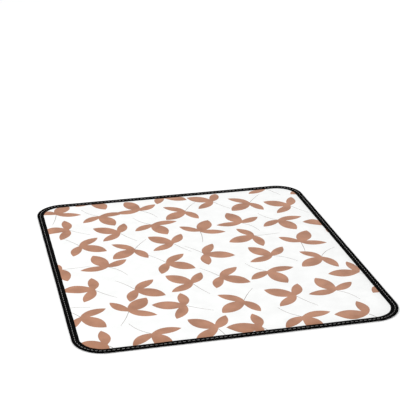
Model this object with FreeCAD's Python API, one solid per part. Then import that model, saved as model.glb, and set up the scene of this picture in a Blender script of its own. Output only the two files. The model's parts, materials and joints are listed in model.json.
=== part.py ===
"""Folding baby changing pad: a printed wipeable cover, a thin foam sheet and a waterproof backing,
bound together round the edge with folded tape and one row of topstitching.

Millimetres, +Z up. The pad lies open and flat. The origin is on the floor under its centre, +Y runs
along its length and +X across its width. It folds in thirds across the width, so every piece is made
whole first and then parted at the two fold lines into a left, a middle and a right panel.

u is the distance in from the pad's outer edge. From the edge inwards the layers are pressed flat inside
the binding, then swell to their full thickness.
"""

import FreeCAD, Part
import os

# Plan
pad_width = 465.0            # X
pad_length = 520.0           # Y
corner_radius = 44.0

# Fold lines, at right angles to the width
fold_left_x = -82.5          # the left panel, 150 wide, folds in first
fold_right_x = 77.5          # the right panel, 155 wide, folds over it
fold_gap = 0.6               # between neighbouring panels' solids

# Layers: (height at the edge, height in the middle) of each layer's lower and upper face
backing_faces = ((0.50, 0.00), (0.72, 0.35))
padding_faces = ((0.77, 0.40), (0.97, 2.80))
cover_faces = ((1.02, 2.85), (1.35, 3.20))
layer_edge_u = 1.0           # the layers stop just short of the binding's inner fold
swell_end_u = 18.0           # from the binding's lip to here they swell to full thickness

# Binding tape, folded round the edge
binding_height = 1.9
binding_lip_u = 11.2         # how far the tape reaches in over the pad
tape_thickness = 0.45
tape_fold_radius = 0.8       # outside of the tape where it turns round the edge

# Topstitching along the middle of the tape
stitch_u = 4.8
thread_diameter = 0.34
thread_clearance = 0.03
needle_thread_z = binding_height - 0.05
bobbin_thread_z = thread_diameter / 2 + thread_clearance

far = 1000.0                 # past any face of the pad


def rounded_outline(u, z):
    """The pad's outline moved in by u, at height z: four straight sides joined by quarter circles."""
    half_x = pad_width / 2 - u
    half_y = pad_length / 2 - u
    radius = corner_radius - u
    straight_x = half_x - radius
    straight_y = half_y - radius
    diagonal = radius * 2 ** -0.5

    def point(x, y):
        return FreeCAD.Vector(x, y, z)

    def corner(sign_x, sign_y, start, end):
        middle = point(sign_x * (straight_x + diagonal), sign_y * (straight_y + diagonal))
        return Part.Arc(start, middle, end).toShape()

    right = (point(half_x, -straight_y), point(half_x, straight_y))
    back = (point(straight_x, half_y), point(-straight_x, half_y))
    left = (point(-half_x, straight_y), point(-half_x, -straight_y))
    front = (point(-straight_x, -half_y), point(straight_x, -half_y))
    return Part.Wire([
        Part.LineSegment(*right).toShape(),
        corner(1, 1, right[1], back[0]),
        Part.LineSegment(*back).toShape(),
        corner(-1, 1, back[1], left[0]),
        Part.LineSegment(*left).toShape(),
        corner(-1, -1, left[1], front[0]),
        Part.LineSegment(*front).toShape(),
        corner(1, -1, front[1], right[0]),
    ])


def slab(u, low, high):
    """A flat plate of the outline moved in by u."""
    return Part.Face(rounded_outline(u, low)).extrude(FreeCAD.Vector(0, 0, high - low))


def below(face_heights):
    """Everything between the floor and a layer's face: level at the edge, sloping from the
    binding's lip to swell_end_u, then level again."""
    edge_z, middle_z = face_heights
    slope = Part.makeLoft(
        [rounded_outline(binding_lip_u, edge_z), rounded_outline(swell_end_u, middle_z)], True, True)
    plate = slab(layer_edge_u, 0, edge_z)
    if middle_z > edge_z:
        return plate.fuse(slope).removeSplitter()
    return plate.cut(slope).removeSplitter()


def layer(faces):
    """One sheet of the pad, between its lower and its upper face."""
    lower, upper = faces
    return below(upper).cut(below(lower)).removeSplitter()


def binding():
    """Tape with a U section, open towards the pad, with a groove above and below for the thread."""
    outer = slab(0, 0, binding_height)
    folds = [edge for edge in outer.Edges
             if abs(edge.BoundBox.ZLength) < 1e-6]
    outer = outer.makeFillet(tape_fold_radius, folds)
    tape = outer.cut(slab(binding_lip_u, -1, binding_height + 1))
    tape = tape.cut(slab(tape_thickness, tape_thickness, binding_height - tape_thickness))
    for z in (needle_thread_z, bobbin_thread_z):
        tape = tape.cut(thread_groove(z))
    return tape


def thread_groove(z):
    """The dent that a thread lies in, from its inner side out through the tape's surface."""
    half = thread_diameter / 2 + thread_clearance
    if z > binding_height / 2:
        low, high = z - half, binding_height + 1
    else:
        low, high = -1, z + half
    return slab(stitch_u - half, low, high).cut(slab(stitch_u + half, low, high))


def thread(z):
    """One thread, all the way round in the middle of the tape."""
    path = rounded_outline(stitch_u, z)
    start = FreeCAD.Vector(pad_width / 2 - stitch_u, 0, z)
    circle = Part.Circle(start, FreeCAD.Vector(0, 1, 0), thread_diameter / 2).toShape()
    profile = Part.Wire([circle])
    side = pad_length / 2 - corner_radius
    profile.translate(FreeCAD.Vector(0, -side, 0))
    return path.makePipeShell([profile], True, False)


def span(low_x, high_x):
    """All the space between two planes across the width."""
    corner = FreeCAD.Vector(low_x, -far, -far)
    return Part.makeBox(high_x - low_x, 2 * far, 2 * far, corner)


panels = {
    "left": span(-far, fold_left_x - fold_gap / 2),
    "middle": span(fold_left_x + fold_gap / 2, fold_right_x - fold_gap / 2),
    "right": span(fold_right_x + fold_gap / 2, far),
}

pieces = {
    "top_cover": layer(cover_faces),
    "padding": layer(padding_faces),
    "backing": layer(backing_faces),
    "binding": binding(),
    "needle_thread": thread(needle_thread_z),
    "bobbin_thread": thread(bobbin_thread_z),
}

os.makedirs("parts", exist_ok=True)
for piece_name, piece in pieces.items():
    for panel_name, panel in panels.items():
        node = Part.makeCompound(piece.common(panel).Solids)
        node.exportStep("parts/" + piece_name + "_" + panel_name + ".step")
        print(piece_name + "_" + panel_name, len(node.Solids), "solids", node.isValid(),
              round(node.Volume), "mm3")
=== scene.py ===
"""Looks of a folding baby changing pad: a white wipeable cover with a brown leaf print, foam, a dark
backing, black binding tape and light stitches.

Lengths are millimetres until a mesh is made. u is the distance in from the pad's outer edge, and s runs
along the edge from the middle of the front, round one side, to the middle of the back. Each layer is one
sheet on the real pad. Here it is parted at x = 0 into a left and a right half, because a piece can bend
across one fold only.
"""

import json
import math

import bpy
import numpy as np
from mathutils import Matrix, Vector
from mathutils.geometry import delaunay_2d_cdt


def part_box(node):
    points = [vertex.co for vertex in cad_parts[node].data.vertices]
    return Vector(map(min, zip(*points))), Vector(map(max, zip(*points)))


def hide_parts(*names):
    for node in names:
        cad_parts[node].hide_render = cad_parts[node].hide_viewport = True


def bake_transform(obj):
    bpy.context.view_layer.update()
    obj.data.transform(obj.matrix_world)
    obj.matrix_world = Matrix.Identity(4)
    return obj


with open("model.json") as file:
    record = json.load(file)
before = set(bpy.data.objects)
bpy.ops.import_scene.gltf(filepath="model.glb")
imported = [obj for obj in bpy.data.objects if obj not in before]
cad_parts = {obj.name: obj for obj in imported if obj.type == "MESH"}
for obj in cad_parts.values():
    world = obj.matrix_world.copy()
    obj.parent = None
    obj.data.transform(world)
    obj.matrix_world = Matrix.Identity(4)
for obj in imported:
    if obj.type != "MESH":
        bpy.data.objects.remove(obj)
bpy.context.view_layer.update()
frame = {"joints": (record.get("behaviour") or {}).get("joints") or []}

# ---------------------------------------------------------------- sizes, in millimetres

TO_MM = 1000.0
HALF_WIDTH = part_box("binding_right")[1].x * TO_MM
HALF_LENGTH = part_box("binding_middle")[1].y * TO_MM
COVER_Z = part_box("top_cover_middle")[1].z * TO_MM
TAPE_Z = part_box("binding_middle")[1].z * TO_MM
FOLD_X = {joint["child"]: joint["pos_m"][0] * TO_MM for joint in frame["joints"]}
FOLD_REACH = {"left_panel": 1.5, "right_panel": 2.5}   # half the width of each soft fold

CORNER_RADIUS = 44.0
LIP_U = 10.9                 # the tape's inner edge
STITCH_U = 4.8
STITCH_COUNTS = {"left": 149, "right": 147}   # along each half, so that a needle hole lies at its fold
STITCH_LENGTH = 4.7
THREAD_RADIUS = 0.22
SHEET_U = 1.2                # the layers' outer edge, inside the tape
TAPE_THICKNESS = 0.4
COVER_THICKNESS = 0.22
BACKING_THICKNESS = 0.2
LAYER_GAP = 0.02
PRESSED_FOAM = 0.05          # the foam's least thickness
PRESSED_COVER_Z = 0.98       # the cover's face inside the tape
PRESSED_BACKING_Z = 0.42     # the backing's underside inside the tape
SHOULDER = (10.6, 26.0)      # where the face starts to swell and where it is level
EDGE_CURL = 0.6              # how far the stitches' pull lifts the outer edge off the floor

SIDES = {"left": -1, "right": 1}
FRONT_STRAIGHT = HALF_WIDTH - CORNER_RADIUS               # from the middle to where a corner starts
SIDE_STRAIGHT = 2 * (HALF_LENGTH - CORNER_RADIUS)         # between a side's two corners
QUARTER = math.pi * CORNER_RADIUS / 2                     # round one corner
HALF_EDGE = 2 * FRONT_STRAIGHT + SIDE_STRAIGHT + 2 * QUARTER


# ---------------------------------------------------------------- the outline

def edge_points(s, side):
    """Points on the outer edge at distances s, and the directions inwards there."""
    s = np.asarray(s, float)
    turn_front = np.clip((s - FRONT_STRAIGHT) / CORNER_RADIUS, 0, math.pi / 2)
    turn_back = np.clip((s - FRONT_STRAIGHT - QUARTER - SIDE_STRAIGHT) / CORNER_RADIUS, 0, math.pi / 2)
    turn = turn_front + turn_back
    inwards = np.stack([-side * np.sin(turn), np.cos(turn)], -1)
    along_front = np.clip(s, 0, FRONT_STRAIGHT)
    along_side = np.clip(s - FRONT_STRAIGHT - QUARTER, 0, SIDE_STRAIGHT)
    along_back = np.clip(s - FRONT_STRAIGHT - 2 * QUARTER - SIDE_STRAIGHT, 0, FRONT_STRAIGHT)
    centre_x = side * (along_front - along_back)
    centre_y = along_side - SIDE_STRAIGHT / 2
    points = np.stack([centre_x, centre_y], -1) - CORNER_RADIUS * inwards
    return points, inwards


def edge_distances(x, y):
    """(u, s) of points in the plan: how far in they are, and where along the edge."""
    past_x = np.abs(x) - FRONT_STRAIGHT
    past_y = np.abs(y) - SIDE_STRAIGHT / 2
    in_corner = (past_x > 0) & (past_y > 0)
    u = np.where(in_corner, CORNER_RADIUS - np.hypot(past_x, past_y),
                 CORNER_RADIUS - np.maximum(past_x, past_y))
    turn = np.arctan2(np.maximum(past_x, 1e-9), np.maximum(past_y, 1e-9))
    from_front = np.where(in_corner, FRONT_STRAIGHT + CORNER_RADIUS * turn, np.abs(x))
    on_side = (past_x > past_y) & ~in_corner
    s = np.where(y < 0, from_front, HALF_EDGE - from_front)
    return u, np.where(on_side, FRONT_STRAIGHT + QUARTER + SIDE_STRAIGHT / 2 + y, s)


def smooth(low, high, value):
    """0 at low, 1 at high, and level at both ends. Low may be the greater of the two."""
    t = np.clip((value - low) / (high - low), 0, 1)
    return t * t * (3 - 2 * t)


def level_at_split(x, reach=6.0):
    """x, but with no slope at x = 0, so that the two halves of a layer meet with the same normals."""
    t = np.clip(np.abs(x) / reach, 0, 1)
    return np.where(np.abs(x) < reach, np.sign(x) * reach * (2 * t ** 2 - t ** 3), x)


def bump(value, middle, reach):
    """1 at the middle, falling smoothly to 0 on both sides of it."""
    return np.exp(-((value - middle) / reach) ** 2)


def waves(x, y, wavelength, seed, count=7):
    """Smooth random waves over the plan, mostly between -1 and 1."""
    random = np.random.default_rng(seed)
    total = 0
    for _ in range(count):
        heading, phase = random.uniform(0, 2 * math.pi, 2)
        pace = 2 * math.pi / (wavelength * random.uniform(0.7, 1.5))
        total = total + np.sin(pace * (x * math.cos(heading) + y * math.sin(heading)) + phase)
    return total / (1.2 * math.sqrt(count))


# ---------------------------------------------------------------- the cover's cloth, settled

SETTLE_STEP = 7.5            # between the cloth's points
SETTLE_FRAMES = 18
SETTLE_START = (0.3, 90)     # height and length of the unevenness that it starts with


def settled_cloth():
    """Grid of heights, from about -1 to 1, of a slightly loose cover held by the tape and pushed up by
    the foam. A cloth simulation finds where it stays down and where it puffs."""
    columns = int(2 * HALF_WIDTH / SETTLE_STEP) + 1
    rows = int(2 * HALF_LENGTH / SETTLE_STEP) + 1
    xs = np.linspace(-HALF_WIDTH, HALF_WIDTH, columns)
    ys = np.linspace(-HALF_LENGTH, HALF_LENGTH, rows)
    grid_x, grid_y = np.meshgrid(xs, ys)
    start_height, start_length = SETTLE_START
    start = start_height * waves(grid_x, grid_y, start_length, seed=5)
    points = np.stack([grid_x, grid_y, start], -1).reshape(-1, 3) / TO_MM
    corner = np.arange(rows * columns).reshape(rows, columns)
    faces = np.stack([corner[:-1, :-1], corner[:-1, 1:], corner[1:, 1:], corner[1:, :-1]], -1)
    mesh = bpy.data.meshes.new("settling_cloth")
    mesh.from_pydata(points.tolist(), [], faces.reshape(-1, 4).tolist())
    cloth = bpy.data.objects.new("settling_cloth", mesh)
    bpy.context.scene.collection.objects.link(cloth)
    held = cloth.vertex_groups.new(name="held")
    u, _ = edge_distances(grid_x.ravel(), grid_y.ravel())
    held.add(np.flatnonzero(u < LIP_U + SETTLE_STEP / 2).tolist(), 1.0, "REPLACE")
    modifier = cloth.modifiers.new("settle", "CLOTH")
    settings = modifier.settings
    settings.quality = 6
    settings.mass = 0.15
    settings.tension_stiffness = 20
    settings.compression_stiffness = 20
    settings.shear_stiffness = 10
    settings.bending_stiffness = 0.4
    settings.vertex_group_mass = "held"
    settings.shrink_min = -0.006
    settings.use_pressure = True
    settings.uniform_pressure_force = 0.15
    settings.effector_weights.gravity = 0
    modifier.point_cache.frame_end = SETTLE_FRAMES
    for step in range(1, SETTLE_FRAMES + 1):
        bpy.context.scene.frame_set(step)
    shown = cloth.evaluated_get(bpy.context.evaluated_depsgraph_get())
    heights = np.array([vertex.co.z for vertex in shown.data.vertices]).reshape(rows, columns)
    bpy.context.scene.frame_set(1)
    bpy.data.objects.remove(cloth)
    bpy.data.meshes.remove(mesh)
    inside = (u > SHOULDER[1]).reshape(rows, columns)
    heights = (heights - heights[inside].mean()) / max(heights[inside].std(), 1e-9)
    return xs, ys, np.tanh(heights / 2) * smooth(LIP_U, 2 * SHOULDER[1], u.reshape(rows, columns))


CLOTH_XS, CLOTH_YS, CLOTH_HEIGHTS = settled_cloth()


def settled(x, y):
    """The settled cloth's height at points of the plan, blended between the cloth's own points."""
    before_last = 1.001          # leaves a further point of the cloth past every place
    column = np.interp(x, CLOTH_XS, np.arange(len(CLOTH_XS)))
    column = np.clip(column, 0, len(CLOTH_XS) - before_last)
    row = np.interp(y, CLOTH_YS, np.arange(len(CLOTH_YS)))
    row = np.clip(row, 0, len(CLOTH_YS) - before_last)
    i, j = row.astype(int), column.astype(int)
    past_row = smooth(0, 1, row - i)
    past_column = smooth(0, 1, column - j)
    near = CLOTH_HEIGHTS[i, j] * (1 - past_column) + CLOTH_HEIGHTS[i, j + 1] * past_column
    beyond = CLOTH_HEIGHTS[i + 1, j] * (1 - past_column) + CLOTH_HEIGHTS[i + 1, j + 1] * past_column
    return near * (1 - past_row) + beyond * past_row


# ---------------------------------------------------------------- heights of the layers

SETTLE_HEIGHT = 0.14
PUCKER_HEIGHT = 0.13
PUCKER_STRIP = (12.5, 3.2)   # the middle and half the width of the strip beside the tape
PUCKER_DRIFT = (0.9, 60)     # how far puckers stray from the stitches, in radians, and over what length
PUCKER_SHARE = (0.55, 0.45, 45)   # a pucker's usual share of its height, how it varies, over what length
CREASE_HEIGHT = 0.13
CREASE_LENGTH = 17
CREASE_STRIP = (16.0, 8.0)
CREASE_RISE = 3.0            # from the tape's inner edge to where the creases are whole
SWELL_POWER = 2.4            # the greater, the steeper the face rises beside the tape
LOW_WAVES = (0.10, 150)      # height and length of the face's slow waves
BACKING_WAVES = (0.04, 70)   # the same of the backing's


def swell(u):
    """0 inside the tape, 1 on the level face, rounded like a padded edge."""
    t = np.clip((u - SHOULDER[0]) / (SHOULDER[1] - SHOULDER[0]), 0, 1)
    return 1 - (1 - t) ** SWELL_POWER


def curl(u):
    """How far the stitches' pull lifts the edge outside them."""
    return EDGE_CURL * smooth(STITCH_U, 0, u)


def beside_tape(u):
    """1 on the strip of the face just inside the tape, falling to 0 on both sides of it."""
    return bump(u, *PUCKER_STRIP)


def stitch_pitch(side):
    return HALF_EDGE / np.where(side < 0, STITCH_COUNTS["left"], STITCH_COUNTS["right"])


def puckers(u, s, side):
    """The little pulls that the stitches make in the face beside the tape."""
    drift, drift_length = PUCKER_DRIFT
    share, variation, share_length = PUCKER_SHARE
    stitch = np.cos(2 * math.pi * s / stitch_pitch(side) + drift * waves(s, 0 * s, drift_length, seed=11))
    # The waves are read at a different place for each side, so that the sides differ.
    uneven = share + variation * waves(s, side * 40.0, share_length, seed=12)
    pulled = PUCKER_HEIGHT * stitch * uneven * beside_tape(u)
    crease = waves(s, side * 30.0, CREASE_LENGTH, seed=13) * bump(u, *CREASE_STRIP)
    return pulled + CREASE_HEIGHT * crease * smooth(LIP_U, LIP_U + CREASE_RISE, u)


def cover_top(x, y):
    x = level_at_split(x)
    u, s = edge_distances(x, y)
    level = COVER_Z - SETTLE_HEIGHT - PRESSED_COVER_Z
    wave_height, wave_length = LOW_WAVES
    low_waves = wave_height * waves(x, y, wave_length, seed=21)
    risen = swell(u) * (level + low_waves + SETTLE_HEIGHT * settled(x, y))
    return PRESSED_COVER_Z + risen + puckers(u, s, np.sign(x)) + curl(u)


def cover_bottom(x, y):
    return cover_top(x, y) - COVER_THICKNESS


def backing_bottom(x, y):
    x = level_at_split(x)
    u, _ = edge_distances(x, y)
    wave_height, wave_length = BACKING_WAVES
    uneven = wave_height * (1 + waves(x, y, wave_length, seed=31))
    return PRESSED_BACKING_Z * (1 - swell(u)) + np.maximum(uneven, 0) * swell(u) + curl(u)


def backing_top(x, y):
    return backing_bottom(x, y) + BACKING_THICKNESS


def padding_bottom(x, y):
    return backing_top(x, y) + LAYER_GAP


def padding_top(x, y):
    """Just under the cover, and clear of the cover's pulls beside the tape."""
    u, _ = edge_distances(x, y)
    top = cover_bottom(x, y) - LAYER_GAP - 2 * PUCKER_HEIGHT * beside_tape(u)
    return np.maximum(top, padding_bottom(x, y) + PRESSED_FOAM)


# ---------------------------------------------------------------- the leaf print

# The three leaves of a sprig: length, width, heading from the wide leaf, sideways bend.
LEAVES = ((45.0, 24.2, 0.0, 1.0), (37.5, 16.3, -82.0, -2.4), (42.0, 16.7, 79.0, 2.7))
LEAF_BASE = 4.5              # a leaf starts this far behind the point where the three meet
LEAF_ROUNDNESS = 0.92        # 1 gives an outline of two parabolas, and less a blunter one
LEAF_LEAN = 0.18             # how much wider a leaf is towards its tip
OUTLINE_STEPS = 15           # points along one side of a leaf or a stem
STEM_START = 4.0
STEM_LENGTH = 46.0
STEM_WIDTH = 0.95
STEM_TAPER = 0.45            # the share of its width that a stem loses
STEM_BEND = 3.5              # of a stem that leaves more than half a turn round from the wide leaf

# Each sprig: x, y, heading of its wide leaf, heading of its stem, and -1 where it is mirrored.
SPRIGS = (
    (-191, -240, 171, 320, 1), (-123, -229, 294, 126, 1), (-36, -229, 137, 295, 1),
    (22, -240, 171, 320, 1), (90, -230, 292, 126, 1),
    (-210, -160, 310, 120, 1), (-142, -153, 47, 245, -1), (-65, -155, 166, 327, 1),
    (20, -165, 215, 57, -1), (97, -161, 146, 301, 1), (160, -158, 110, 304, 1),
    (239, -157, 303, 110, 1), (-238, -117, 180, 342, 1), (-183, -76, 166, 312, 1),
    (-120, -94, 326, 124, 1), (-38, -88, 136, 294, 1), (11, -81, 325, 124, 1),
    (84, -80, 292, 126, 1), (176, -49, 214, 42, 1),
    (-221, 1, 200, 2, 1), (-150, -4, 110, 304, 1), (-57, -16, 325, 124, 1),
    (7, 2, 344, 124, 1), (104, -23, 126, 318, 1), (165, 16, 59, 262, -1),
    (-100, 44, 215, 54, -1), (-36, 58, 136, 300, 1), (96, 54, 200, 2, 1),
    (-178, 76, 325, 124, 1), (-112, 118, 147, 301, 1), (19, 94, 60, 262, -1),
    (92, 112, 106, 298, 1), (157, 104, 292, 125, 1), (237, 81, 169, 324, 1),
    (-192, 148, 171, 320, 1), (-51, 134, 290, 126, 1), (-130, 188, 293, 126, 1),
    (11, 176, 216, 54, -1), (128, 188, 215, 51, -1), (192, 165, 147, 301, 1),
    (-63, 203, 110, 304, 1), (67, 213, 147, 301, 1), (-200, 218, 60, 255, -1),
    (-132, 260, 290, 126, 1), (-9, 254, 324, 124, 1), (174, 254, 136, 295, 1),
    (240, 241, 147, 301, 1),
)
TWO_LEAF_SPRIGS = ((213, -110, 177, 320, 1), (178, -238, 172, 320, 1))


def turned(along, across, heading, x, y):
    """Points given along and across a heading, placed at x, y, in anticlockwise order."""
    cos, sin = math.cos(math.radians(heading)), math.sin(math.radians(heading))
    points = np.stack([x + along * cos - across * sin, y + along * sin + across * cos], -1)
    after = np.roll(points, -1, 0)
    doubled_area = (points[:, 0] * after[:, 1] - after[:, 0] * points[:, 1]).sum()
    return points if doubled_area > 0 else points[::-1]


def leaf_outline(length, width, bend):
    """A pointed oval from behind the junction to its tip. Its middle line bends most near the junction."""
    t = np.linspace(0, 1, OUTLINE_STEPS)
    along = -LEAF_BASE + (length + LEAF_BASE) * t
    half = width / 2 * (4 * t * (1 - t)) ** LEAF_ROUNDNESS * (1 + LEAF_LEAN * (t - 0.5))
    middle = bend * np.sin(math.pi * t ** 0.75)
    return (np.concatenate([along, along[-2:0:-1]]),
            np.concatenate([middle + half, (middle - half)[-2:0:-1]]))


def stem_outline(bend):
    """A thin curved line that tapers away from the leaves."""
    t = np.linspace(0, 1, OUTLINE_STEPS)
    along = STEM_START + (STEM_LENGTH - STEM_START) * t
    middle = bend * np.sin(math.pi * t)
    half = STEM_WIDTH / 2 * (1 - STEM_TAPER * t)
    return (np.concatenate([along, along[::-1]]),
            np.concatenate([middle + half, (middle - half)[::-1]]))


def bendable(outline):
    """The outline with more points where it crosses a fold, so that the print bends with the cover."""
    points = []
    for start, end in zip(outline, np.roll(outline, -1, 0)):
        low, high = min(start[0], end[0]), max(start[0], end[0])
        steps = 1
        for body, fold in FOLD_X.items():
            reach = FOLD_REACH[body] + FOLD_MARGIN
            if low < fold + reach and high > fold - reach:
                steps = max(1, math.ceil((high - low) / FOLD_STEP))
        points += [start + (end - start) * step / steps for step in range(steps)]
    return np.array(points)


def print_outlines():
    """(outline, ink) of everything printed. Ink 1 is a leaf's and 2 a stem's."""
    shapes = []
    sprigs = [(sprig, LEAVES) for sprig in SPRIGS] + [(sprig, LEAVES[:2]) for sprig in TWO_LEAF_SPRIGS]
    for (x, y, leaf_heading, stem_heading, hand), leaves in sprigs:
        for length, width, heading, bend in leaves:
            along, across = leaf_outline(length, width, bend)
            leaf = turned(along, hand * across, leaf_heading + hand * heading, x, y)
            shapes.append((bendable(leaf), 1))
        round_from_leaf = hand * (stem_heading - leaf_heading) % 360
        along, across = stem_outline(STEM_BEND if round_from_leaf > 180 else -STEM_BEND / 3)
        shapes.append((bendable(turned(along, hand * across, stem_heading, x, y)), 2))
    return shapes


# ---------------------------------------------------------------- sheets over the whole plan

# Rings of points along the edge, closest together where the face rises beside the tape.
RING_US = (STITCH_U, LIP_U - 1.0, LIP_U, 11.9, 12.8, 14.0, 15.6, 17.8, 20.8, 24.4, 29.0)
RING_STEP = 3.15             # between the points of a ring
FIELD_U = 32.0               # where the points inside the rings start
FIELD_STEP = 7.0             # between them
COARSE_STEP = 12.0           # the same on the layers that hardly show
SPLIT_STEP = 4.0             # between the points of the line at x = 0, and of a fold's columns
FOLD_STEP = 0.22             # between the columns of points that bend in a fold
FOLD_MARGIN = 1.0            # how far those columns go on past the bend
SAME_PLACE = 1e-4            # points nearer than this are made one
RIM_ANGLE = 50               # degrees between two faces, from which their edge shows as sharp


def edge_stations(side, step):
    """Distances along a half's edge from front to back, closer together where it crosses a fold."""
    body = "left_panel" if side < 0 else "right_panel"
    fold = abs(FOLD_X[body])
    stations = [0.0]
    while stations[-1] < HALF_EDGE - step:
        s = stations[-1]
        away = min(abs(s - fold), abs(HALF_EDGE - s - fold))
        near = away < FOLD_REACH[body] + FOLD_MARGIN + step
        stations.append(s + (FOLD_STEP if near else step))
    return np.array(stations + [HALF_EDGE])


def ring(u, step):
    """Points on the whole outline moved in by u, in order."""
    right_edge, right_in = edge_points(edge_stations(1, step)[:-1], 1)
    left_edge, left_in = edge_points(edge_stations(-1, step)[:0:-1], -1)
    return np.concatenate([right_edge + right_in * u, left_edge + left_in * u])


def field(step):
    """Points inside the rings, staggered, clear of the split and of the folds' columns."""
    xs = np.arange(-HALF_WIDTH, HALF_WIDTH, step) + step / 2
    ys = np.arange(-HALF_LENGTH, HALF_LENGTH, step) + step / 2
    x, y = (grid.ravel() for grid in np.meshgrid(xs, ys))
    x = x + 0.25 * step * np.sin(y / step * math.pi)
    u, _ = edge_distances(x, y)
    keep = (u > FIELD_U) & (np.abs(x) > step / 2)
    for body, fold in FOLD_X.items():
        keep &= np.abs(x - fold) > FOLD_REACH[body] + 2 * FOLD_MARGIN
    return np.stack([x, y], -1)[keep]


def fold_columns(body):
    """Dense columns of points where the layers bend."""
    reach = FOLD_REACH[body] + FOLD_MARGIN
    columns = FOLD_X[body] + np.linspace(-reach, reach, int(2 * reach / FOLD_STEP))
    rows = np.arange(-HALF_LENGTH + 2 * SHEET_U, HALF_LENGTH - 2 * SHEET_U, SPLIT_STEP)
    x, y = (grid.ravel() for grid in np.meshgrid(columns, rows))
    return np.stack([x, y], -1)


def plan(step, border_step, shapes=()):
    """Triangles over the pad's plan: (points, triangles, ink of each triangle). It has a line of edges
    at x = 0, rings of points along the edge, dense columns at the folds and the outlines given."""
    border = ring(SHEET_U, border_step)
    points, faces = [border], [list(range(len(border)))]
    count = len(border)
    for outline, _ in shapes:
        points.append(outline)
        faces.append(list(range(count, count + len(outline))))
        count += len(outline)
    split_y = np.arange(-HALF_LENGTH + SHEET_U, HALF_LENGTH - SHEET_U, SPLIT_STEP)[1:]
    points.append(np.stack([0 * split_y, split_y], -1))
    front_middle, back_middle = 0, len(edge_stations(1, border_step)) - 1
    split = [front_middle, *range(count, count + len(split_y)), back_middle]
    edges = list(zip(split[:-1], split[1:]))
    for u in RING_US:
        around = ring(u, border_step)
        clear_of_split = np.abs(around[:, 0]) > 0.6 * RING_STEP
        points.append(around[clear_of_split])
    points += [fold_columns(body) for body in FOLD_X]
    points.append(field(step))
    everything = [Vector(point) for point in np.concatenate(points)]
    found, _, triangles, _, _, origins = delaunay_2d_cdt(everything, edges, faces, 1, SAME_PLACE)
    kept, inks = [], []
    for triangle, origin in zip(triangles, origins):
        # Face 0 is the border. Where prints cross, a leaf covers a stem.
        if 0 in origin:
            kept.append(triangle)
            inks.append(min((shapes[i - 1][1] for i in origin if i > 0), default=0))
    return np.array([tuple(point) for point in found]), np.array(kept), np.array(inks)


def sheet_half(name, side, the_plan, top, bottom):
    """One half of a layer as a closed mesh between two height functions. Its UV map is its flat plan in
    metres, which the weave follows."""
    points, triangles, inks = the_plan
    middle = points[triangles].mean(1)
    mine = middle[:, 0] * side > 0
    used, corners = np.unique(triangles[mine], return_inverse=True)
    corners = corners.reshape(-1, 3)
    xy = points[used]
    x, y = xy[:, 0], xy[:, 1]
    upper = np.stack([x, y, top(x, y)], -1)
    lower = np.stack([x, y, bottom(x, y)], -1)
    count = len(used)
    directed = {(int(a), int(b)) for triangle in corners for a, b in zip(triangle, np.roll(triangle, -1))}
    rim = sorted((b, a, a + count, b + count) for a, b in directed if (b, a) not in directed)
    faces = corners.tolist() + (corners[:, ::-1] + count).tolist() + rim
    mesh = bpy.data.meshes.new(name)
    mesh.from_pydata((np.concatenate([upper, lower]) / TO_MM).tolist(), [], faces)
    ink = np.concatenate([inks[mine], np.zeros(len(corners) + len(rim), int)])
    mesh.polygons.foreach_set("material_index", ink.astype(np.int32))
    flat = np.concatenate([xy, xy]) / TO_MM
    return finish_mesh(name, mesh, flat)


def put_in_scene(name, data):
    thing = bpy.data.objects.new(name, data)
    bpy.context.scene.collection.objects.link(thing)
    return thing


def finish_mesh(name, mesh, flat):
    """The object of a mesh, smooth but for its rims, with a UV map that holds flat places in metres."""
    mesh.validate(verbose=False)
    corner_points = np.zeros(len(mesh.loops), np.int32)
    mesh.loops.foreach_get("vertex_index", corner_points)
    layer = mesh.uv_layers.new(name="flat")
    layer.data.foreach_set("uv", flat[corner_points].astype(np.float32).ravel())
    mesh.shade_smooth()
    mesh.set_sharp_from_angle(angle=math.radians(RIM_ANGLE))
    mesh.update()
    return put_in_scene(name, mesh)


# ---------------------------------------------------------------- the binding tape

TAPE_STEP = 1.4              # between the sections that the tape is swept through
# Points across the tape's face, from its inner edge outwards, closest together at the stitches.
TAPE_US = (LIP_U, 10.72, 10.2, 9.6, 8.6, 7.6, 6.7, 5.9, 5.4, 5.07,
           STITCH_U, 4.53, 4.2, 3.7, 3.0, 2.2, 1.4)
TURN_STEPS = 7               # points where the tape turns round the edge
INNER_TURN_STEPS = 5
TURN_FLATNESS = 0.93         # 1 makes the turn a half circle
FACE_INSET = 0.06            # room for the upper face's waves, and for the turn's, inside the CAD tape
INNER_TURN_INSET = 0.05      # the same for the turn on the inside
LOWER_FACE_Z = 0.04
LOWEST_Z = 0.02
STITCH_DENT = 0.34
HOLE_DENT = 0.16
DENT_REACH = 0.75            # from the stitches to where their dent ends
HOLE_REACH = 0.9             # the same of a needle hole
LIP_DROP = 0.55              # how much lower the tape's face lies at its inner edge
LIP_ROUNDING = (0.2, 0.35)   # how far the inner edge is rounded, down and across
LIP_WAVES = (0.16, 34)       # how far the inner edge wavers, and over what length
EDGE_WAVES = (0.10, 55)      # the same of the outer edge
FACE_WAVES = (0.03, 23)      # height and length of the face's slow waves
GATHERS = (0.12, 5.2)        # height and length of the gathers on the corners
GATHER_FADE = (6, 8)         # how far they fade out past a corner's end, and short of it
PULLS = (0.04, 2.6)          # height and reach of the stitches' pulls


def stitch_holes(s, side):
    """1 at a needle hole, falling to 0 between holes."""
    pitch = stitch_pitch(side)
    away = np.abs((s / pitch + 0.5) % 1 - 0.5) * pitch
    return bump(away, 0, HOLE_REACH)


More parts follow.
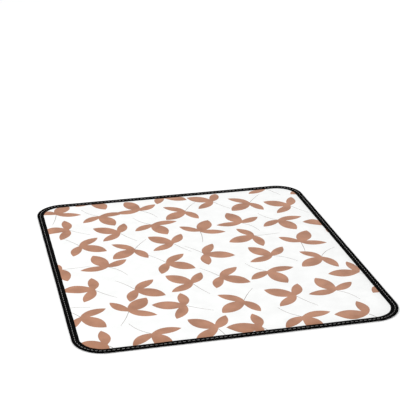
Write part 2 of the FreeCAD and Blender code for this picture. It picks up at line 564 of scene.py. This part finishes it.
def corner_share(s):
    """1 on the round corners and 0 on the straights, changing a little to both sides of a corner's ends."""
    first = FRONT_STRAIGHT + QUARTER / 2
    second = HALF_EDGE - first
    away = np.minimum(np.abs(s - first), np.abs(s - second))
    past, short = GATHER_FADE
    return smooth(QUARTER / 2 + past, QUARTER / 2 - short, away)


def lip_sag(u):
    """How far the upper face has sunk into the foam, towards its inner edge."""
    return LIP_DROP * smooth(STITCH_U, LIP_U, u)


def tape_lift(u, s, side, seed):
    """How far the tape's face stands above its plain height: a dent under the stitches, needle holes,
    small pulls and slow waves, and gathers towards the inner edge on the corners."""
    slow_height, slow_length = FACE_WAVES
    gather_height, gather_length = GATHERS
    pull_height, pull_reach = PULLS
    slow = slow_height * waves(s, u * 3, slow_length, seed)
    gathers = gather_height * waves(s, 0 * s, gather_length, seed + 1) * corner_share(s)
    towards_lip = smooth(STITCH_U + 0.6, LIP_U, u)
    pulls = pull_height * np.cos(2 * math.pi * s / stitch_pitch(side)) * bump(u, STITCH_U, pull_reach)
    dent = bump(u, STITCH_U, DENT_REACH) * (STITCH_DENT + HOLE_DENT * stitch_holes(s, side))
    return slow + gathers * towards_lip + pulls - dent


def wavering(s, size, seed):
    """Slow waves along the edge, as a column beside the points across the tape."""
    height, length = size
    return (height * waves(s, 0 * s, length, seed))[:, None]


def inner_section(lip_wave):
    """(u, z) of the tape's inner walls, from the lower lip round the turn to the upper one."""
    radius = TAPE_Z / 2
    turn = np.linspace(math.pi, 0, INNER_TURN_STEPS)
    turn_radius = radius - TAPE_THICKNESS
    wall_us = [LIP_U, STITCH_U]
    u = np.concatenate([wall_us, radius - turn_radius * np.sin(turn) + INNER_TURN_INSET,
                        wall_us[::-1]])
    z = np.concatenate([[TAPE_THICKNESS] * 2, radius + turn_radius * np.cos(turn),
                        [TAPE_Z - TAPE_THICKNESS] * 2])
    u = u + lip_wave * (u == LIP_U)
    sunk = lip_sag(u) + (STITCH_DENT + HOLE_DENT) * (u == STITCH_U)
    return u, z + curl(u) - sunk * (z > radius)


def tape_half(name, side):
    """One half of the tape: a U section swept along the edge, with caps at the ends."""
    s = edge_stations(side, TAPE_STEP)
    # The waves are level at both ends, so that the two halves meet with the same normals.
    level_s = level_at_split(s) + level_at_split(s - HALF_EDGE) - (s - HALF_EDGE)
    face_u = np.array(TAPE_US)
    lip_wave = wavering(level_s, LIP_WAVES, side + 42)
    edge_wave = wavering(level_s, EDGE_WAVES, side + 52)
    u = face_u + lip_wave * smooth(STITCH_U, LIP_U, face_u) + edge_wave * smooth(STITCH_U, 0, face_u)
    face_s = np.broadcast_to(level_s[:, None], u.shape)
    round_down, round_across = LIP_ROUNDING
    rounding = round_down * smooth(LIP_U - round_across, LIP_U, face_u)
    upper = TAPE_Z - FACE_INSET + tape_lift(u, face_s, side, 61) - lip_sag(u) - rounding + curl(u)
    lower = np.maximum(LOWEST_Z, LOWER_FACE_Z - 0.5 * tape_lift(u, face_s, side, 71)) + rounding + curl(u)
    turn = np.linspace(0, math.pi, TURN_STEPS + 2)[1:-1]
    turn_u = TAPE_Z / 2 * (1 - np.sin(turn)) * TURN_FLATNESS + edge_wave + FACE_INSET
    turn_z = TAPE_Z / 2 * (1 + np.cos(turn)) + curl(turn_u)
    inner_u, inner_z = inner_section(lip_wave)
    all_u = np.concatenate([u, turn_u, u[:, ::-1], inner_u], 1)
    all_z = np.concatenate([upper, turn_z, lower[:, ::-1], inner_z], 1)
    edge, inwards = edge_points(s, side)
    xy = edge[:, None] + inwards[:, None] * all_u[:, :, None]
    points = np.concatenate([xy, all_z[:, :, None]], 2)
    across = np.concatenate([[0], np.cumsum(np.hypot(np.diff(all_u[0]), np.diff(all_z[0])))])
    flat = np.stack(np.broadcast_arrays(s[:, None], across[None]), -1)
    rows, around = all_u.shape
    mesh = bpy.data.meshes.new(name)
    mesh.from_pydata((points.reshape(-1, 3) / TO_MM).tolist(), [], tube_faces(rows, around, side))
    return finish_mesh(name, mesh, flat.reshape(-1, 2) / TO_MM)


def tube_faces(rows, around, side, first_point=0, first_corner=0):
    """Faces of a closed tube with a cap at each end, which face outwards on either half of the pad. The
    corner that a face starts at decides along which diagonal it bends where it isn't flat."""
    index = first_point + np.arange(rows * around).reshape(rows, around)
    there = np.roll(index, -1, 1)
    quads = np.stack([index[:-1], there[:-1], there[1:], index[1:]], -1).reshape(-1, 4)
    quads = np.roll(quads, -first_corner, 1)
    faces = quads.tolist() + [index[0][::-1].tolist(), index[-1].tolist()]
    return faces if side > 0 else [face[::-1] for face in faces]


# ---------------------------------------------------------------- the stitches

NEEDLE_Z = TAPE_Z - 0.28     # the middles of the two rows of thread
BOBBIN_Z = 0.36
STITCH_ROWS = 11
STITCH_AROUND = 8
STITCH_LEAN = 0.10           # how far a stitch's ends are off the line, at most
STITCH_ARCH = 0.05           # how far its middle stands out
STITCH_DIVE = 0.62           # how far its ends dive into the tape
STITCH_SPREAD = (0.96, 1.03)   # the shortest and the longest stitch, against the usual length
STITCH_THINNING = 0.85       # the share of its section that a stitch loses at its very ends
THREAD_TWIST = 2.4           # half turns of the two plies along half a stitch
PLY_BULGE = 0.13             # of the thread's radius


def stitch_half(name, side, face_z, outward):
    """Every stitch of one half, as separate closed threads that dive into the tape at both ends."""
    pitch = stitch_pitch(side)
    centres = np.arange(pitch / 2, HALF_EDGE, pitch)
    t = np.linspace(-1, 1, STITCH_ROWS)
    angle = np.arange(STITCH_AROUND) / STITCH_AROUND * 2 * math.pi
    points, faces, flat = [], [], []
    random = np.random.default_rng(80 + side)
    for centre in centres:
        length = STITCH_LENGTH * random.uniform(*STITCH_SPREAD)
        lean = random.uniform(-STITCH_LEAN, STITCH_LEAN)
        s = centre + t * length / 2
        edge, inwards = edge_points(s, side)
        u = STITCH_U + lean * t
        z = face_z + outward * (STITCH_ARCH - STITCH_DIVE * np.abs(t) ** 5)
        plump = THREAD_RADIUS * np.sqrt(1 - STITCH_THINNING * np.abs(t) ** 6)
        plies = 1 + PLY_BULGE * np.cos(2 * (angle[None] - t[:, None] * THREAD_TWIST * math.pi))
        radius = plump[:, None] * plies
        across = u[:, None] + radius * np.cos(angle)
        xy = edge[:, None] + inwards[:, None] * across[:, :, None]
        up = z[:, None] + radius * np.sin(angle)
        first_point = len(points) * STITCH_ROWS * STITCH_AROUND
        faces += tube_faces(STITCH_ROWS, STITCH_AROUND, side, first_point, first_corner=1)
        points.append(np.concatenate([xy, up[:, :, None]], 2).reshape(-1, 3))
        flat.append(np.stack(np.broadcast_arrays(s[:, None], radius * angle), -1).reshape(-1, 2))
    mesh = bpy.data.meshes.new(name)
    mesh.from_pydata((np.concatenate(points) / TO_MM).tolist(), [], faces)
    return finish_mesh(name, mesh, np.concatenate(flat) / TO_MM)


# ---------------------------------------------------------------- materials

# Lengths in the materials, the camera and the studio are metres.

def new_material(name, colour, roughness, specular=0.5):
    """A Principled material with its nodes, links and shader."""
    material = bpy.data.materials.new(name)
    material.use_nodes = True
    nodes = material.node_tree.nodes
    shader = nodes["Principled BSDF"]
    shader.inputs["Base Color"].default_value = (*colour, 1)
    shader.inputs["Roughness"].default_value = roughness
    shader.inputs["Specular IOR Level"].default_value = specular
    return material, nodes, material.node_tree.links, shader


def flat_place(nodes, links, turn=0.0):
    """The flat place of a point in metres, turned by an angle."""
    uv = nodes.new("ShaderNodeUVMap")
    uv.uv_map = "flat"
    mapping = nodes.new("ShaderNodeMapping")
    mapping.inputs["Rotation"].default_value = (0, 0, turn)
    links.new(uv.outputs["UV"], mapping.inputs["Vector"])
    return mapping.outputs["Vector"]


def math_node(nodes, links, operation, *values):
    """The result of a sum on sockets and numbers."""
    node = nodes.new("ShaderNodeMath")
    node.operation = operation
    for socket, value in zip(node.inputs, values):
        if isinstance(value, (int, float)):
            socket.default_value = value
        else:
            links.new(value, socket)
    return node.outputs[0]


def noise(nodes, links, place, scale, detail=3.0):
    """Uneven patches, about 1 / scale metres across."""
    node = nodes.new("ShaderNodeTexNoise")
    node.inputs["Scale"].default_value = scale
    node.inputs["Detail"].default_value = detail
    links.new(place, node.inputs["Vector"])
    return node.outputs["Fac"]


def sine_along(nodes, links, place, direction, wavelength):
    """A sine wave along X or Y of a place, wavelength metres long."""
    parts = nodes.new("ShaderNodeSeparateXYZ")
    links.new(place, parts.inputs[0])
    angle = math_node(nodes, links, "MULTIPLY", parts.outputs[direction], 2 * math.pi / wavelength)
    return math_node(nodes, links, "SINE", angle)


def plain_weave(nodes, links, place, thread):
    """Height of a plain weave: two sets of threads, thread metres apart, over and under in turn."""
    across = sine_along(nodes, links, place, "X", 2 * thread)
    along = sine_along(nodes, links, place, "Y", 2 * thread)
    warp = math_node(nodes, links, "ABSOLUTE", across)
    weft = math_node(nodes, links, "ABSOLUTE", along)
    over = math_node(nodes, links, "MULTIPLY", across, along)
    crossing = math_node(nodes, links, "MULTIPLY_ADD", over, 0.35, 0.5)
    threads = math_node(nodes, links, "ADD", warp, weft)
    return math_node(nodes, links, "MULTIPLY_ADD", threads, 0.5, crossing)


def blend_colours(nodes, links, shader, factor, low, high, span=(0.35, 0.65)):
    """Colours the shader from low to high as the factor goes from one end of the span to the other."""
    ramp = nodes.new("ShaderNodeValToRGB")
    ramp.color_ramp.elements[0].position = span[0]
    ramp.color_ramp.elements[1].position = span[1]
    ramp.color_ramp.elements[0].color = (*low, 1)
    ramp.color_ramp.elements[1].color = (*high, 1)
    links.new(factor, ramp.inputs["Fac"])
    links.new(ramp.outputs["Color"], shader.inputs["Base Color"])


def relief(nodes, links, shader, height, distance, strength):
    """Fine relief, distance metres deep."""
    node = nodes.new("ShaderNodeBump")
    node.inputs["Distance"].default_value = distance
    node.inputs["Strength"].default_value = strength
    links.new(height, node.inputs["Height"])
    links.new(node.outputs["Normal"], shader.inputs["Normal"])


def vary_roughness(nodes, links, shader, factor, low, high):
    """Roughness from low to high as the factor goes from 0 to 1."""
    limits = nodes.new("ShaderNodeMapRange")
    limits.inputs["To Min"].default_value = low
    limits.inputs["To Max"].default_value = high
    links.new(factor, limits.inputs["Value"])
    links.new(limits.outputs["Result"], shader.inputs["Roughness"])


def coated_cloth(name, low, high, roughness, specular, thread=0.00042, depth=0.00003):
    """Woven cloth under a thin wipeable coating, with a little unevenness of tone and gloss."""
    material, nodes, links, shader = new_material(name, high, roughness, specular)
    place = flat_place(nodes, links)
    blend_colours(nodes, links, shader, noise(nodes, links, place, scale=38, detail=4), low, high)
    gloss = noise(nodes, links, place, scale=120)
    vary_roughness(nodes, links, shader, gloss, roughness - 0.07, roughness + 0.09)
    relief(nodes, links, shader, plain_weave(nodes, links, place, thread), depth, strength=0.55)
    return material


def ribbed_tape():
    """Black grosgrain: fine ribs across the tape, finer threads along it, and a soft sheen."""
    black, less_black = (0.0008, 0.0008, 0.0008), (0.002, 0.002, 0.002)
    material, nodes, links, shader = new_material("binding_tape", less_black, roughness=0.7, specular=0.007)
    place = flat_place(nodes, links)
    ribs = sine_along(nodes, links, place, "X", wavelength=0.0008)
    threads = sine_along(nodes, links, place, "Y", wavelength=0.00035)
    height = math_node(nodes, links, "MULTIPLY_ADD", threads, 0.25, ribs)
    relief(nodes, links, shader, height, distance=0.00004, strength=0.8)
    tone = noise(nodes, links, place, scale=90, detail=4)
    blend_colours(nodes, links, shader, tone, black, less_black)
    vary_roughness(nodes, links, shader, tone, low=0.6, high=0.8)
    return material


def thread_material():
    """Light grey twisted polyester, with painted shade in the grooves between its plies."""
    # The darker colour is painted shade in the grooves between the plies, laid where the twist's relief is
    # low.
    painted_shade_between_plies, ply = (0.30, 0.295, 0.29), (0.50, 0.49, 0.48)
    material, nodes, links, shader = new_material("stitch_thread", ply, roughness=0.5, specular=0.4)
    twist = sine_along(nodes, links, flat_place(nodes, links, turn=0.9), "X", wavelength=0.00045)
    blend_colours(nodes, links, shader, twist, painted_shade_between_plies, ply, span=(0.0, 0.9))
    relief(nodes, links, shader, twist, distance=0.00005, strength=0.6)
    shader.inputs["Sheen Weight"].default_value = 0.2
    return material


def foam_material():
    """Fine foam of closed cells, with painted shade of its cells."""
    # The darker colour is painted shade of the foam's cells, blended in by the same Voronoi distance that
    # drives the relief.
    wall, painted_cell_shade = (0.86, 0.84, 0.78), (0.72, 0.70, 0.64)
    material, nodes, links, shader = new_material("foam", wall, roughness=0.85, specular=0.25)
    cells = nodes.new("ShaderNodeTexVoronoi")
    cells.inputs["Scale"].default_value = 1400
    links.new(flat_place(nodes, links), cells.inputs["Vector"])
    blend_colours(nodes, links, shader, cells.outputs["Distance"], wall, painted_cell_shade, span=(0.1, 0.9))
    relief(nodes, links, shader, cells.outputs["Distance"], distance=0.0002, strength=0.5)
    return material


cover_cloth = coated_cloth("cover_cloth", (0.749, 0.754, 0.749), (0.789, 0.794, 0.789),
                           roughness=0.55, specular=0.25)
leaf_ink = coated_cloth("leaf_ink", (0.306, 0.140, 0.079), (0.401, 0.191, 0.113),
                        roughness=0.52, specular=0.25)
stem_ink = coated_cloth("stem_ink", (0.17, 0.14, 0.12), (0.24, 0.21, 0.19),
                        roughness=0.55, specular=0.25)
backing_cloth = coated_cloth("backing_cloth", (0.034, 0.030, 0.029), (0.048, 0.043, 0.041),
                             roughness=0.62, specular=0.35, thread=0.0006, depth=0.00006)
tape_cloth = ribbed_tape()
thread_twist = thread_material()
foam = foam_material()

# ---------------------------------------------------------------- the pieces


def dress(piece, side_name, part, slot, *materials):
    """Gives a half its materials, hides the CAD parts that it stands in for and bakes its place into its
    mesh. The slot is not used.
    """
    for material in materials:
        piece.data.materials.append(material)
    nodes = [part + "_" + side_name] + ([part + "_middle"] if side_name == "left" else [])
    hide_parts(*nodes)
    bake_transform(piece)
    return piece


def make_camera():
    """Looks from in front, a little to the left and above, at a point just over the pad's middle."""
    azimuth, elevation = math.radians(-13.47), math.radians(22.235)
    distance, lift, aside = 1.7689, 0.08895, -0.0034
    level = math.cos(elevation)
    forward = Vector((-math.sin(azimuth) * level, math.cos(azimuth) * level, -math.sin(elevation)))
    rotation = forward.to_track_quat("-Z", "Y")
    up, right = rotation @ Vector((0, 1, 0)), rotation @ Vector((1, 0, 0))
    data = bpy.data.cameras.new("camera")
    data.sensor_width = 36
    data.lens = 102.5
    data.clip_start, data.clip_end = 0.05, 50
    camera = put_in_scene("camera", data)
    camera.rotation_mode = "QUATERNION"
    camera.rotation_quaternion = rotation
    camera.location = up * lift + right * aside - forward * distance
    bpy.context.scene.camera = camera


def soft_lamp(name, place, size, energy):
    """A round lamp that faces the pad's middle."""
    data = bpy.data.lights.new(name, "AREA")
    data.shape = "DISK"
    data.size = size
    data.energy = energy
    lamp = put_in_scene(name, data)
    lamp.location = place
    lamp.rotation_mode = "QUATERNION"
    lamp.rotation_quaternion = (-Vector(place)).to_track_quat("-Z", "Y")


def make_studio():
    """A plain pale floor, an even pale surround and two soft lamps."""
    half, drop = 8.0, 0.0002
    corners = [(x * half, y * half, -drop) for x, y in ((-1, -1), (1, -1), (1, 1), (-1, 1))]
    mesh = bpy.data.meshes.new("floor")
    mesh.from_pydata(corners, [], [(0, 1, 2, 3)])
    mesh.materials.append(new_material("floor_paper", (0.9, 0.9, 0.9), roughness=0.9, specular=0.2)[0])
    put_in_scene("floor", mesh)
    world = bpy.data.worlds.new("surround")
    bpy.context.scene.world = world
    world.use_nodes = True
    background = world.node_tree.nodes["Background"]
    background.inputs["Color"].default_value = (1, 1, 1, 1)
    background.inputs["Strength"].default_value = 0.95
    soft_lamp("key", (-1.6, -0.4, 1.5), size=0.9, energy=20)
    soft_lamp("back", (1.0, 1.8, 1.6), size=1.0, energy=6)
    bpy.context.scene.view_settings.view_transform = "Standard"


make_camera()
make_studio()

printed_plan = plan(FIELD_STEP, RING_STEP, print_outlines())
plain_plan = plan(COARSE_STEP, 2 * RING_STEP)

for side_name, side in SIDES.items():
    cover = sheet_half("top_cover_" + side_name + "_half", side, printed_plan, cover_top, cover_bottom)
    dress(cover, side_name, "top_cover", "cover", cover_cloth, leaf_ink, stem_ink)
    padding = sheet_half("padding_" + side_name + "_half", side, plain_plan, padding_top, padding_bottom)
    dress(padding, side_name, "padding", "padding", foam)
    backing = sheet_half("backing_" + side_name + "_half", side, plain_plan, backing_top, backing_bottom)
    dress(backing, side_name, "backing", "backing", backing_cloth)
    tape = tape_half("binding_" + side_name + "_half", side)
    dress(tape, side_name, "binding", "binding", tape_cloth)
    needle = stitch_half("needle_stitches_" + side_name + "_half", side, NEEDLE_Z, 1)
    dress(needle, side_name, "needle_thread", "thread", thread_twist)
    bobbin = stitch_half("bobbin_stitches_" + side_name + "_half", side, BOBBIN_Z, -1)
    dress(bobbin, side_name, "bobbin_thread", "thread", thread_twist)
